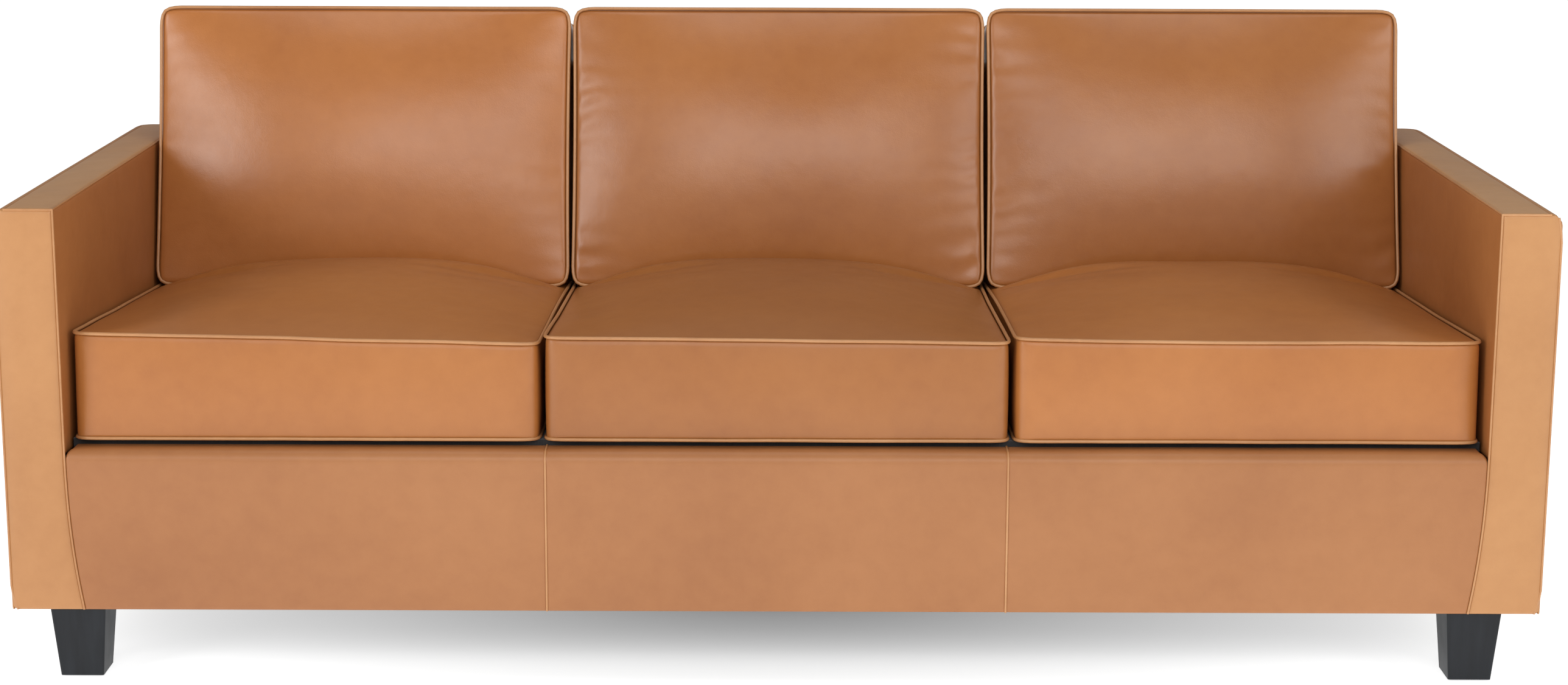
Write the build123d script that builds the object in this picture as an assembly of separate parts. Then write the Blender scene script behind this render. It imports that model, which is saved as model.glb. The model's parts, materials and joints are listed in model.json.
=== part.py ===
from build123d import *
import os
from math import cos, radians, sin, tan

# Three-seat leather sofa on short wooden legs. Millimetres, +Z up, X along the sofa, the front faces -Y.
# The origin is the centre of the footprint, on the floor.

# ---- driving dimensions ----
WIDTH = 2134.0
DEPTH = 890.0
ARM_WIDTH = 84.0
ARM_TOP = 670.0
ARM_REAR_RADIUS = 35.0
ARM_FRONT_RADIUS = 8.0
BASE_BOTTOM = 104.0
RAIL_TOP = 333.0
BACK_FRAME_TOP = 775.0
LEATHER = 2.0
WRAP = 12.0  # padding between the leather and the frame
ARM_PAD = 20.0  # padding between the leather and the top of an arm's frame
FLARE = 18.0  # how far an arm's front panel spreads over the rail at the base
FLARE_MIDDLE = 4.0  # the same part of the way down
FLARE_MIDDLE_Z = 215.0
FLARE_LAP = 9.0  # how far the flare's own strip laps the arm's front panel
RAIL_ROUND = 10.0
RAIL_ROLL = 14.0  # how far the rail's leather runs back past the front of the seats
RAIL_SEAM_X = 320.0

BOARD = 22.0
POST_DEPTH = 40.0
CORNER_BLOCK_X = 46.0  # from a leg's centre to the inner face of its corner block
CORNER_BLOCK_DEPTH = 66.0
CORNER_BLOCK_HEIGHT = 40.0
SIDE_RAIL_TOP = 325.0
STRETCHER_TOP = 200.0
STRETCHER_SHIFT = 2.0  # from a rail seam in to its stretcher's middle
BACK_FRAME_HALF = 966.0
BACK_FRAME_DROP = 30.0  # from the top of the back down to the underside of its top rail
UPRIGHT_WIDTH = 36.0
UPRIGHT_X = 310.0  # inner face of the uprights beside the middle
WEBBING_DEPTH = 22.0  # from the inside back panel to the webbing
WEBBING = 1.5
WEBBING_WIDTH = 50.0
WEBBING_HEIGHTS = [340, 440, 540, 640]

SEAT_SLOPE = 3.5  # degrees the deck falls towards the back
BACK_LEAN = 15.0  # degrees the back cushions lean
SEAT_COUNT = 3
CUSHION_PITCH = 653.0
CUSHION_WIDTH = 643.0
CUSHION_CORNER = 25.0
SEAT_FRONT_Y = -417.0
SEAT_FRONT_Z = 341.5
SEAT_LENGTH = 652.0
SEAT_BOXING = 142.0
SEAT_CROWN = 20.0
SEAT_CROWN_LENGTH = 547.0
BACK_FRONT_Y = 148.0
BACK_FRONT_Z = 455.0
BACK_HEIGHT = 437.0
BACK_BOXING = 128.0
BACK_HEEL = 26.0  # how much higher the rear edge of a back cushion starts
BACK_CROWN = 40.0
CROWN_SINK = 3.0  # how far the foot of a crown lies inside its slab
WELT_RADIUS = 2.5
WELT_OUTSET = 1.5

LEG_TOP = 77.0
LEG_BOTTOM = 60.0
LEG_X = 976.5
LEG_Y = 400.0
LEG_EDGE = 3.0
GLIDE = 3.0
GLIDE_RADIUS = 20.0
BOLT_RADIUS = 3.9
BOLT_HOLE = 4.0
BOLT_DEPTH = 40.0  # how far a hanger bolt runs into its leg
BOLT_PROUD = 4.0  # how far it stands out of its corner block
NUT_RADIUS = 5.4
NUT_HOLE = 5.5
NUT_LENGTH = 12.0
NUT_FLANGE = 2.0
NUT_FLANGE_RADIUS = 7.0
DUST_HOLE = 6.0

DECK_CLOTH = 1.0
DECK_PAD = 15.0
DECK_FRONT = 15.0  # from the front of the seats back to the edge of the deck
DECK_REAR_GAP = 4.0
LINING_DROP = 17.0  # from the deck down to the lower edge of an arm's inside panel
BACK_PAD_LOW = 300.0
BACK_PAD_DROP = 4.0  # from the top of the back down to its padding
BACK_PANEL_LOW = 296.0
BACK_END_DROP = 20.0  # how far the back's end strips run down behind an arm's top
BACK_CAP_ROUND = 1.5
PAD_SIDE_GAP = 3.0  # from an arm's inner face to the deck and the back padding
BACK_SIDE_GAP = 1.0  # from an arm's inner face to the leather of the back

SPRING_WIRE = 1.9
SPRING_SWING = 25.0
SPRING_BEND = 22.5
SPRING_PLAY = 0.3
SPRING_DROP = 20.0  # from the deck down to the middle of the wire
SPRING_BED = 26.0  # from the deck down to the boards that hold the springs
SPRING_STEP = 68.0
SPRING_END = 14.0  # from the outer face of a rail board to the end of a spring
SPRING_CENTRES = [-860, -680, -480, -200, 0, 200, 480, 680, 860]
CLIP_LENGTH = 16.0
CLIP_DEPTH = 11.0
CLIP_HEIGHT = 7.8
CLIP_RISE = 1.2  # how far a clip's middle lies above its wire
CLIP_SHIFT = 10.0  # from the middle of a spring to the clip on its straight end
TIE_WIRE = 1.2
TIE_GAP = 1.5
TIE_END = 3.0
TIE_PLACES = [-200, 0, 200]

# ---- sizes that follow ----
HALF_W = WIDTH / 2
HALF_D = DEPTH / 2
INNER_X = HALF_W - ARM_WIDTH
FRAME_X0 = INNER_X + LEATHER + WRAP
FRAME_X1 = HALF_W - LEATHER - WRAP
FRAME_Y = HALF_D - LEATHER - WRAP - 1
FRAME_BOTTOM = BASE_BOTTOM + 1
DECK_GAP = 0.5
SPRING_START = -FRAME_Y + SPRING_END
SPRING_SPAN = -2 * SPRING_START / cos(radians(SEAT_SLOPE))
SPRING_TURNS = 2 * int(SPRING_SPAN / SPRING_STEP / 2)
PANEL_GAP = 2.5  # air between the rear of a back cushion and the inside back panel
ARM_FRAME_TOP = ARM_TOP - LEATHER - ARM_PAD
EPS = 0.5
OVERSHOOT = 20.0  # how far a cutting shape runs past what it cuts
DRILL = 60.0  # length of a drill that goes right through

SEAT_NAMES = ["left", "middle", "right"]


def box(x0, x1, y0, y1, z0, z1):
    """A block between two corners."""
    return Pos((x0 + x1) / 2, (y0 + y1) / 2, (z0 + z1) / 2) * Box(abs(x1 - x0), abs(y1 - y0), abs(z1 - z0))


def side_profile(points, x0, x1):
    """A block with the outline `points`, given as (y, z), between two values of x."""
    face = make_face(Polyline(*[(x0, y, z) for y, z in points], close=True))
    return extrude(face, amount=x1 - x0, dir=(1, 0, 0))


def mirrored(shape):
    """The same shape on the other side of the sofa."""
    return mirror(shape, about=Plane.YZ)


def pair(shape):
    """A shape and its mirror image as one group of solids."""
    return Compound(children=list(shape.solids()) + list(mirrored(shape).solids()))


def group(shapes):
    """Separate solids in one node."""
    solids = [solid for shape in shapes for solid in shape.solids()]
    return Compound(children=solids)


def deck_z(y, below=0.0):
    """Height of the sloping deck, or of a plane that lies `below` it."""
    return SEAT_FRONT_Z - DECK_GAP - (y - SEAT_FRONT_Y) * tan(radians(SEAT_SLOPE)) - below


def back_y(z, behind=0.0):
    """Front of the inside back panel at a height, or of a plane `behind` it."""
    lean = radians(BACK_LEAN)
    offset = BACK_BOXING + PANEL_GAP + behind
    return BACK_FRONT_Y + (z - BACK_FRONT_Z) * tan(lean) + offset / cos(lean)


def deck_layer(x, y0, y1, top, bottom):
    """A sheet parallel to the deck."""
    points = [(y0, deck_z(y0, top)), (y1, deck_z(y1, top))]
    points += [(y1, deck_z(y1, bottom)), (y0, deck_z(y0, bottom))]
    return side_profile(points, -x, x)


def back_layer(x0, x1, front, rear, z0, z1):
    """A sheet parallel to the leaning back."""
    points = [(back_y(z0, front), z0), (back_y(z1, front), z1)]
    points += [(back_y(z1, rear), z1), (back_y(z0, rear), z0)]
    return side_profile(points, x0, x1)


# ---- cushions ----
def crown(width, length, rise, footprint_length, corner):
    """A low pillow whose lowest few millimetres sink into the slab: an arch along X over one along Y."""
    full = rise + CROWN_SINK
    side = width / 2
    across = ThreePointArc((-side, 0), (0, full), (side, 0)) + Line((side, 0), (-side, 0))
    along = ThreePointArc((0, 0), (length / 2, full), (length, 0)) + Line((length, 0), (0, 0))
    arch_x = extrude(Plane.XZ * make_face(across), amount=length, dir=(0, 1, 0))
    arch_y = Pos(-side, 0, 0) * extrude(Plane.YZ * make_face(along), amount=width, dir=(1, 0, 0))
    inset = CROWN_SINK
    footprint = rounded_block(width - 2 * inset, footprint_length - 2 * inset, 2 * full, corner)
    return Pos(0, 0, -CROWN_SINK) * ((arch_x & arch_y) & (Pos(0, inset, -full / 2) * footprint))


def rounded_block(width, length, height, corner):
    """A block on the XY plane that runs from y = 0, with rounded upright edges."""
    outline = Pos(0, length / 2) * RectangleRounded(width, length, corner)
    return extrude(outline, amount=height)


def welt_loop(width, length, corner, height):
    """A round piping loop just outside a rounded block, at one height."""
    out = WELT_OUTSET
    outline = Pos(0, length / 2) * RectangleRounded(width + 2 * out, length + 2 * out, corner + out)
    path = outline.face().outer_wire()
    section = Plane(origin=path @ 0, z_dir=path % 0) * Circle(WELT_RADIUS)
    return Pos(0, 0, height) * sweep(section, path=path)


def seat_body(inset):
    """A boxed seat cushion in its own frame: y runs to the rear and z up from the deck."""
    width = CUSHION_WIDTH - 2 * inset
    length = SEAT_LENGTH - 2 * inset
    corner = CUSHION_CORNER - inset
    slab = rounded_block(width, length, SEAT_BOXING - 2 * inset, corner)
    pillow = crown(width, SEAT_CROWN_LENGTH - 2 * inset, SEAT_CROWN, length, corner)
    return Pos(0, inset, inset) * (slab + Pos(0, 0, SEAT_BOXING - 2 * inset) * pillow)


def seat_welts():
    low = welt_loop(CUSHION_WIDTH, SEAT_LENGTH, CUSHION_CORNER, WELT_RADIUS)
    high = welt_loop(CUSHION_WIDTH, SEAT_LENGTH, CUSHION_CORNER, SEAT_BOXING - WELT_RADIUS)
    return [low, high]


def back_body(inset):
    """A boxed back cushion in its own frame: y runs up along the lean and z out of its front."""
    width = CUSHION_WIDTH - 2 * inset
    corner = CUSHION_CORNER - inset
    front_length = BACK_HEIGHT - 2 * inset
    rear_length = BACK_HEIGHT - BACK_HEEL - 2 * inset
    front = Pos(0, inset + front_length / 2, -inset) * RectangleRounded(width, front_length, corner)
    rear_middle = BACK_HEEL + inset + rear_length / 2
    rear = Pos(0, rear_middle, inset - BACK_BOXING) * RectangleRounded(width, rear_length, corner)
    slab = loft([front, rear], ruled=True)
    pillow = crown(width, front_length, BACK_CROWN, front_length, corner)
    return slab + Pos(0, inset, -inset) * pillow


def back_welts():
    front = welt_loop(CUSHION_WIDTH, BACK_HEIGHT, CUSHION_CORNER, -WELT_RADIUS)
    rear = welt_loop(CUSHION_WIDTH, BACK_HEIGHT - BACK_HEEL, CUSHION_CORNER, WELT_RADIUS - BACK_BOXING)
    return [front, Pos(0, BACK_HEEL, 0) * rear]


def cushion(prefix, side, place, body, welts):
    """Cover, core and welts of one cushion, moved to its place."""
    outer = body(0)
    inner = body(LEATHER)
    cover = outer - inner
    for welt in welts:
        cover = cover - welt
    return {
        f"{prefix}_cover_{side}": place * cover,
        f"{prefix}_core_{side}": place * inner,
        f"{prefix}_welts_{side}": place * group(welts),
    }


def cushions():
    nodes = {}
    for index, side in enumerate(SEAT_NAMES):
        x = (index - (SEAT_COUNT - 1) / 2) * CUSHION_PITCH
        seat_place = Pos(x, SEAT_FRONT_Y, SEAT_FRONT_Z) * Rot(-SEAT_SLOPE, 0, 0)
        back_place = Pos(x, BACK_FRONT_Y, BACK_FRONT_Z) * Rot(90 - BACK_LEAN, 0, 0)
        nodes.update(cushion("seat_cushion", side, seat_place, seat_body, seat_welts()))
        nodes.update(cushion("back_cushion", side, back_place, back_body, back_welts()))
    return nodes


# ---- base frame ----
def corner_block():
    """The block over the front right leg, drilled for its tee nut."""
    rail_y = BOARD - FRAME_Y
    low, high = FRAME_BOTTOM, FRAME_BOTTOM + CORNER_BLOCK_HEIGHT
    block = box(LEG_X - CORNER_BLOCK_X, FRAME_X0 - EPS, rail_y + EPS, rail_y + CORNER_BLOCK_DEPTH, low, high)
    return block - Pos(LEG_X, -LEG_Y, (low + high) / 2) * Cylinder(NUT_HOLE, DRILL)


def base_frame():
    front_y = FRAME_Y - BOARD
    post_y = FRAME_Y - POST_DEPTH
    stretcher_x = RAIL_SEAM_X - STRETCHER_SHIFT
    block = corner_block()
    rear_block = mirror(block, about=Plane.XZ)
    side = box(FRAME_X1 - BOARD, FRAME_X1, -post_y, post_y, FRAME_BOTTOM, SIDE_RAIL_TOP)
    stretcher = box(stretcher_x - BOARD / 2, stretcher_x + BOARD / 2, -front_y, front_y, FRAME_BOTTOM,
                    STRETCHER_TOP)
    front_top = deck_z(-FRAME_Y, SPRING_BED)
    back_top = deck_z(FRAME_Y, SPRING_BED)
    return {
        "front_rail_board": box(-FRAME_X0, FRAME_X0, -FRAME_Y, -front_y, FRAME_BOTTOM, front_top),
        "back_rail_board": box(-FRAME_X0, FRAME_X0, front_y, FRAME_Y, FRAME_BOTTOM, back_top),
        "side_rail_boards": pair(side),
        "stretchers": pair(stretcher),
        "corner_blocks": pair(group([block, rear_block])),
    }


# ---- arm and back frames ----
def arm_frame():
    top = ARM_FRAME_TOP
    post_y = FRAME_Y - POST_DEPTH
    front_post = box(FRAME_X0, FRAME_X1, -FRAME_Y, -post_y, FRAME_BOTTOM, top)
    back_post = box(FRAME_X0, FRAME_X1, post_y, FRAME_Y, FRAME_BOTTOM, top)
    board = box(FRAME_X0, FRAME_X1, -post_y, post_y, top - BOARD, top)
    return {
        "arm_front_posts": pair(front_post),
        "arm_back_posts": pair(back_post),
        "arm_top_boards": pair(board),
    }


def back_frame():
    """Uprights cut to the lean of the back, a top rail on them, and webbing across their fronts."""
    front = WEBBING_DEPTH + WEBBING
    low = deck_z(FRAME_Y, SPRING_BED)
    high = BACK_FRAME_TOP - BACK_FRAME_DROP
    rail_top = high + BOARD
    half = BACK_FRAME_HALF
    profile = [(FRAME_Y, low), (FRAME_Y, high), (back_y(high, front), high), (back_y(low, front), low)]
    outer = side_profile(profile, half - UPRIGHT_WIDTH, half)
    inner = side_profile(profile, UPRIGHT_X, UPRIGHT_X + UPRIGHT_WIDTH)
    rail_profile = [(FRAME_Y, high), (FRAME_Y, rail_top), (back_y(rail_top, front), rail_top),
                    (back_y(high, front), high)]
    straps = [back_layer(-half, half, WEBBING_DEPTH, front, z, z + WEBBING_WIDTH) for z in WEBBING_HEIGHTS]
    return {
        "back_uprights": group([pair(outer), pair(inner)]),
        "back_top_rail": side_profile(rail_profile, -half, half),
        "back_webbing": group(straps),
    }


# ---- springs ----
def spring():
    """A sinuous spring: one wire that swings from side to side on its way to the back."""
    step = SPRING_SPAN / SPRING_TURNS
    points = [(-SPRING_SWING, 0), (SPRING_SWING, 0)]
    for turn in range(1, SPRING_TURNS + 1):
        side = SPRING_SWING if turn % 2 else -SPRING_SWING
        points.append((side, turn * step))
        points.append((-side, turn * step))
    path = FilletPolyline(*points, radius=SPRING_BEND)
    wire = sweep(Plane(origin=path @ 0, z_dir=path % 0) * Circle(SPRING_WIRE), path=path)
    return Pos(0, SPRING_START, deck_z(SPRING_START, SPRING_DROP)) * Rot(-SEAT_SLOPE, 0, 0) * wire


def springs():
    """Springs from rail to rail, a clip on each straight end, and three wires that tie them together."""
    first = spring()
    hole = Rot(0, 90, 0) * Cylinder(SPRING_WIRE + SPRING_PLAY, DRILL)
    clip = Pos(0, 0, CLIP_RISE) * Box(CLIP_LENGTH, CLIP_DEPTH, CLIP_HEIGHT) - hole
    clips = []
    for x in SPRING_CENTRES:
        for y, shift in ((SPRING_START, -CLIP_SHIFT), (-SPRING_START, CLIP_SHIFT)):
            clips.append(Pos(x + shift, y, deck_z(y, SPRING_DROP)) * Rot(-SEAT_SLOPE, 0, 0) * clip)
    tie = Rot(0, 90, 0) * Cylinder(TIE_WIRE, 2 * (INNER_X - TIE_END))
    tie_drop = SPRING_DROP + SPRING_WIRE + TIE_GAP
    ties = [Pos(0, y, deck_z(y, tie_drop)) * tie for y in TIE_PLACES]
    return {
        "seat_springs": group([Pos(x, 0, 0) * first for x in SPRING_CENTRES]),
        "spring_clips": group(clips),
        "tie_wires": group(ties),
    }


# ---- padding ----
def top_front_edge(shape):
    """The edge along X that is highest and furthest forward."""
    return shape.edges().filter_by(Axis.X).group_by(Axis.Z)[-1].group_by(Axis.Y)[0]


def arm_padding():
    """Padding all round the right arm's frame."""
    frame_zone = box(FRAME_X0 - EPS, FRAME_X1 + EPS, -FRAME_Y - EPS, FRAME_Y + EPS, 0, ARM_FRAME_TOP + EPS)
    below_deck = side_profile(inner_cut_profile(), INNER_X - OVERSHOOT, FRAME_X0 - EPS)
    return arm_envelope(LEATHER, FRAME_BOTTOM) - frame_zone - below_deck


def rail_padding():
    half = INNER_X - EPS
    pad = box(-half, half, LEATHER - HALF_D, -FRAME_Y - EPS, FRAME_BOTTOM, RAIL_TOP - LEATHER)
    return fillet(top_front_edge(pad), RAIL_ROUND - LEATHER)


def padding():
    arm = arm_padding()
    side = INNER_X - PAD_SIDE_GAP
    front = SEAT_FRONT_Y + DECK_FRONT
    rear = back_y(BACK_PAD_LOW) - DECK_REAR_GAP
    pad_bottom = DECK_CLOTH + DECK_PAD
    return {
        "arm_padding_left": mirrored(arm),
        "arm_padding_right": arm,
        "front_rail_padding": rail_padding(),
        "seat_deck_pad": deck_layer(side, front, rear, DECK_CLOTH, pad_bottom),
        "seat_deck_cloth": deck_layer(side, front, rear, 0, DECK_CLOTH),
        "back_padding": back_layer(-side, side, LEATHER, WEBBING_DEPTH, BACK_PAD_LOW,
                                   BACK_FRAME_TOP - BACK_PAD_DROP),
    }


def inner_cut_profile():
    """The part of an arm's inner face that lies below the deck, as seen from the side."""
    y = HALF_D + OVERSHOOT
    low = BASE_BOTTOM / 2
    return [(-y, low), (y, low), (y, deck_z(y, LINING_DROP)), (-y, deck_z(-y, LINING_DROP))]


# ---- leather panels ----
def arm_envelope(inset, bottom):
    """The whole right arm as one rounded block, made smaller all round by `inset`."""
    block = box(INNER_X + inset, HALF_W - inset, -HALF_D + inset, HALF_D - inset, bottom, ARM_TOP - inset)
    outer_edges = block.edges().filter_by(Axis.Z).group_by(Axis.X)[-1]
    block = fillet(outer_edges.group_by(Axis.Y)[-1], ARM_REAR_RADIUS - inset)
    front_edge = block.edges().filter_by(Axis.Z).filter_by_position(Axis.Y, -HALF_D, -HALF_D + 3)
    return fillet(front_edge.group_by(Axis.X)[-1], ARM_FRONT_RADIUS - inset)


def flare(extra):
    """The strip by which an arm's front panel widens towards the base, seen from the front."""
    edge_x = INNER_X - extra
    low_x = edge_x - FLARE
    lap_x = INNER_X + FLARE_LAP
    edge = ThreePointArc((edge_x, RAIL_TOP), (edge_x - FLARE_MIDDLE, FLARE_MIDDLE_Z), (low_x, BASE_BOTTOM))
    outline = edge + Line((low_x, BASE_BOTTOM), (lap_x, BASE_BOTTOM))
    outline += Line((lap_x, BASE_BOTTOM), (lap_x, RAIL_TOP))
    outline += Line((lap_x, RAIL_TOP), (edge_x, RAIL_TOP))
    return Pos(0, -HALF_D + LEATHER, 0) * extrude(Plane.XZ * make_face(outline), amount=LEATHER)


def arm_panels():
    """The leather of an arm in four panels: front, top, inside, and outside with the rear."""
    shell = arm_envelope(0, BASE_BOTTOM) - arm_envelope(LEATHER, BASE_BOTTOM - OVERSHOOT)
    front_edge = -HALF_D + LEATHER
    under_top = ARM_TOP - LEATHER
    low_x = INNER_X - OVERSHOOT
    far = WIDTH
    front_zone = box(low_x, far, -far, front_edge, 0, far)
    top_zone = box(low_x, far, front_edge, far, under_top, far)
    inside_zone = box(low_x, INNER_X + LEATHER, front_edge, far, 0, under_top)
    outside_zone = box(INNER_X + LEATHER, far, front_edge, far, 0, under_top)
    below_deck = side_profile(inner_cut_profile(), low_x, INNER_X + OVERSHOOT)
    panels = {
        "front": (shell & front_zone) + flare(0),
        "top": shell & top_zone,
        "inside": (shell & inside_zone) - below_deck,
        "outside": shell & outside_zone,
    }
    nodes = {}
    for name, panel in panels.items():
        nodes[f"arm_{name}_panel_right"] = panel
        nodes[f"arm_{name}_panel_left"] = mirrored(panel)
    return nodes


def rail_panels():
    """Three leather panels over the front rail, rolled back over its top edge."""
    half = INNER_X - EPS
    outer = box(-half, half, -HALF_D, SEAT_FRONT_Y + RAIL_ROLL, BASE_BOTTOM, RAIL_TOP)
    outer = fillet(top_front_edge(outer), RAIL_ROUND)
    inner = box(-half - 1, half + 1, -HALF_D + LEATHER, HALF_D, 0, RAIL_TOP - LEATHER)
    inner = fillet(top_front_edge(inner), RAIL_ROUND - LEATHER)
    clearance = flare(EPS)
    rolled = outer - inner - clearance - mirrored(clearance)
    seam = RAIL_SEAM_X
    zones = {"left": (-WIDTH, -seam), "middle": (-seam, seam), "right": (seam, WIDTH)}
    return {f"front_rail_panel_{name}": rolled & box(x0, x1, -WIDTH, WIDTH, 0, WIDTH)
            for name, (x0, x1) in zones.items()}


def back_panels():
    """The leather behind the back cushions, and the cover over the back's rear, top and ends."""
    half = INNER_X - BACK_SIDE_GAP
    top = BACK_FRAME_TOP
    under_top = top - LEATHER
    rear = HALF_D
    inside = back_layer(-half, half, 0, LEATHER, BACK_PANEL_LOW, under_top)
    outside = box(-half, half, rear - LEATHER, rear, BASE_BOTTOM, top)
    cap = box(-half, half, back_y(under_top), rear, under_top, top)
    end_low = ARM_TOP - BACK_END_DROP
    end_profile = [(rear - LEATHER, end_low), (rear - LEATHER, under_top),
                   (back_y(under_top, LEATHER), under_top), (back_y(end_low, LEATHER), end_low)]
    ends = side_profile(end_profile, half - LEATHER, half)
    shell = outside + cap + ends + mirrored(ends)
    top_edges = shell.edges().filter_by(Axis.X).group_by(Axis.Z)[-1]
    shell = fillet(top_edges.group_by(Axis.Y)[-1], BACK_CAP_ROUND)
    return {"inside_back_panel": inside, "outside_back_panel": shell}


# ---- underside and legs ----
def dust_cover():
    sheet = box(-FRAME_X1, FRAME_X1, -FRAME_Y, FRAME_Y, BASE_BOTTOM, FRAME_BOTTOM)
    for x, y in leg_places():
        sheet = sheet - Pos(x, y, BASE_BOTTOM) * Cylinder(DUST_HOLE, DRILL)
    return {"dust_cover": sheet}


def leg_places():
    return [(x, y) for y in (-LEG_Y, LEG_Y) for x in (-LEG_X, LEG_X)]


def at_legs(shape):
    """One copy of a shape at each leg, in one node."""
    return group([Pos(x, y, 0) * shape for x, y in leg_places()])


def leg():
    """A square leg that tapers to its foot, with a hole for its bolt."""
    foot = Pos(0, 0, GLIDE) * RectangleRounded(LEG_BOTTOM, LEG_BOTTOM, LEG_EDGE)
    head = Pos(0, 0, BASE_BOTTOM) * RectangleRounded(LEG_TOP, LEG_TOP, LEG_EDGE)
    bolt_hole = Pos(0, 0, BASE_BOTTOM - BOLT_DEPTH / 2) * Cylinder(BOLT_HOLE, BOLT_DEPTH + 2)
    return loft([foot, head], ruled=True) - bolt_hole


def tee_nut():
    """A barrel sunk in its corner block, under a flange that lies on the block."""
    block_top = FRAME_BOTTOM + CORNER_BLOCK_HEIGHT
    barrel_middle = block_top - NUT_LENGTH / 2
    flange = Pos(0, 0, block_top + NUT_FLANGE / 2) * Cylinder(NUT_FLANGE_RADIUS, NUT_FLANGE)
    barrel = Pos(0, 0, barrel_middle) * Cylinder(NUT_RADIUS, NUT_LENGTH)
    return flange + barrel - Pos(0, 0, barrel_middle) * Cylinder(BOLT_HOLE, DRILL)


def legs_and_fixings():
    names = ["leg_front_left", "leg_front_right", "leg_back_left", "leg_back_right"]
    one_leg = leg()
    nodes = {name: Pos(x, y, 0) * one_leg for name, (x, y) in zip(names, leg_places())}
    bolt_low = BASE_BOTTOM - BOLT_DEPTH
    bolt_high = FRAME_BOTTOM + CORNER_BLOCK_HEIGHT + BOLT_PROUD
    bolt = Pos(0, 0, (bolt_low + bolt_high) / 2) * Cylinder(BOLT_RADIUS, bolt_high - bolt_low)
    nodes["hanger_bolts"] = at_legs(bolt)
    nodes["tee_nuts"] = at_legs(tee_nut())
    nodes["leg_glides"] = at_legs(Pos(0, 0, GLIDE / 2) * Cylinder(GLIDE_RADIUS, GLIDE))
    return nodes


def build_sofa():
    sections = [base_frame, arm_frame, back_frame, springs, padding, arm_panels, rail_panels, back_panels,
                dust_cover, legs_and_fixings, cushions]
    nodes = {}
    for section in sections:
        nodes.update(section())
    return nodes


os.makedirs("parts", exist_ok=True)
for node_name, shape in build_sofa().items():
    export_step(shape, f"parts/{node_name}.step")
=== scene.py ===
import json
import math

import bpy
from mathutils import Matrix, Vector, noise


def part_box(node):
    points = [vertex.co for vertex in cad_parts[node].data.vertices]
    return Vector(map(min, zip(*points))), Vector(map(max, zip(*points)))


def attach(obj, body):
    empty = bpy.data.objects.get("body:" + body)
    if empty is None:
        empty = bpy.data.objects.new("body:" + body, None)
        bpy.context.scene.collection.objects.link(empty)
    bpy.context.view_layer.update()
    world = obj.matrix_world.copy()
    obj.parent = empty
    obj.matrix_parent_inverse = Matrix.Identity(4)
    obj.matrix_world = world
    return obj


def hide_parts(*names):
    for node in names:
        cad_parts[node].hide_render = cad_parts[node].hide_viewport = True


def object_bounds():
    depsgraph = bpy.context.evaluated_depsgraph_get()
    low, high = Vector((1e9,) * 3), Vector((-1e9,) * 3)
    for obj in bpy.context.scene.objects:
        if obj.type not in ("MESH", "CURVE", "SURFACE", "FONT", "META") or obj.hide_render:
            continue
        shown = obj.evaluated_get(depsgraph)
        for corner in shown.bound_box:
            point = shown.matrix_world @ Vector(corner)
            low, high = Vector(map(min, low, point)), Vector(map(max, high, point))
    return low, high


# Looks of the three-seat leather sofa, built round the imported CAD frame. Metres, +Z up, front faces -Y.

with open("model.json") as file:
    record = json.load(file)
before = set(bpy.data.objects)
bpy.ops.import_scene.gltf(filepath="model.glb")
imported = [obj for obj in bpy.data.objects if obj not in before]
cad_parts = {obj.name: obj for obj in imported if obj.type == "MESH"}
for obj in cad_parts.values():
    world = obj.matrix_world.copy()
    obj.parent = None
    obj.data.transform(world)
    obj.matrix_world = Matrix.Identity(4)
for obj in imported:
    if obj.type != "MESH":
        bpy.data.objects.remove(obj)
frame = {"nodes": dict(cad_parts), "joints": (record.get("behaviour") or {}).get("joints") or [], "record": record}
cad_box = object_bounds()

# ---- sizes taken from the frame ----
SIDES = ("left", "middle", "right")
BOX_LO, BOX_HI = cad_box
HALF_W = BOX_HI.x
HALF_D = BOX_HI.y
FRONT = -HALF_D
TOP_LO, TOP_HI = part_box("arm_top_panel_right")
INNER_X = TOP_LO.x
ARM_TOP = TOP_HI.z
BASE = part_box("arm_outside_panel_right")[0].z
RAIL_LO, RAIL_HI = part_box("front_rail_panel_middle")
RAIL_TOP = RAIL_HI.z
SEAM_X = RAIL_HI.x
BACK_LO, BACK_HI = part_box("outside_back_panel")
JOINTS = {joint["name"]: joint for joint in frame["joints"]}

# ---- sizes of the sewing ----
WELT = 0.0025  # radius of the cushion piping
WELT_OUTSET = 0.0015
SEAM_ROLL = 0.006
SEAM_RIDGE = 0.0016
LEATHER = 0.0018
PADDING = 0.008
PADDING_EDGE = 0.005  # how far the padding stops short of the leather's seams
ARM_ROUND = 0.018
REAR_ROUND = 0.035
RAIL_ROUND = 0.016
FLARE = 0.018
CUSHION_STEP = 0.010
CUSHION_CORNER = 0.015
SEAT_CROWN = 0.042
BACK_CROWN = 0.042
CORE_INSET = 0.012
PUCKER_PITCH = 0.037  # from one gathered fold beside a seam to the next
PUCKER_REACH = 0.034  # how far a fold runs in from its seam before it fades
PUCKERS = {"left": 0.0011, "middle": 0.0034, "right": 0.0024}  # height of the folds of each back cushion
SEAT_TILT = {"left": -0.013, "middle": -0.006, "right": -0.003}  # rise of a seat's front edge along x
ARM_GATHER = 0.0018  # height of the gathers along the top of an arm's front panel
BOXING_WAVE = 0.0022  # how far the front of a seat waves in and out
ZIP_TAPE = 0.011  # half the width of a zip's tape
ZIP_PITCH = 0.0032


# ---- small helpers ----
def link(name, data, material):
    obj = bpy.data.objects.new(name, data)
    bpy.context.collection.objects.link(obj)
    data.materials.append(material)
    return obj


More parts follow.
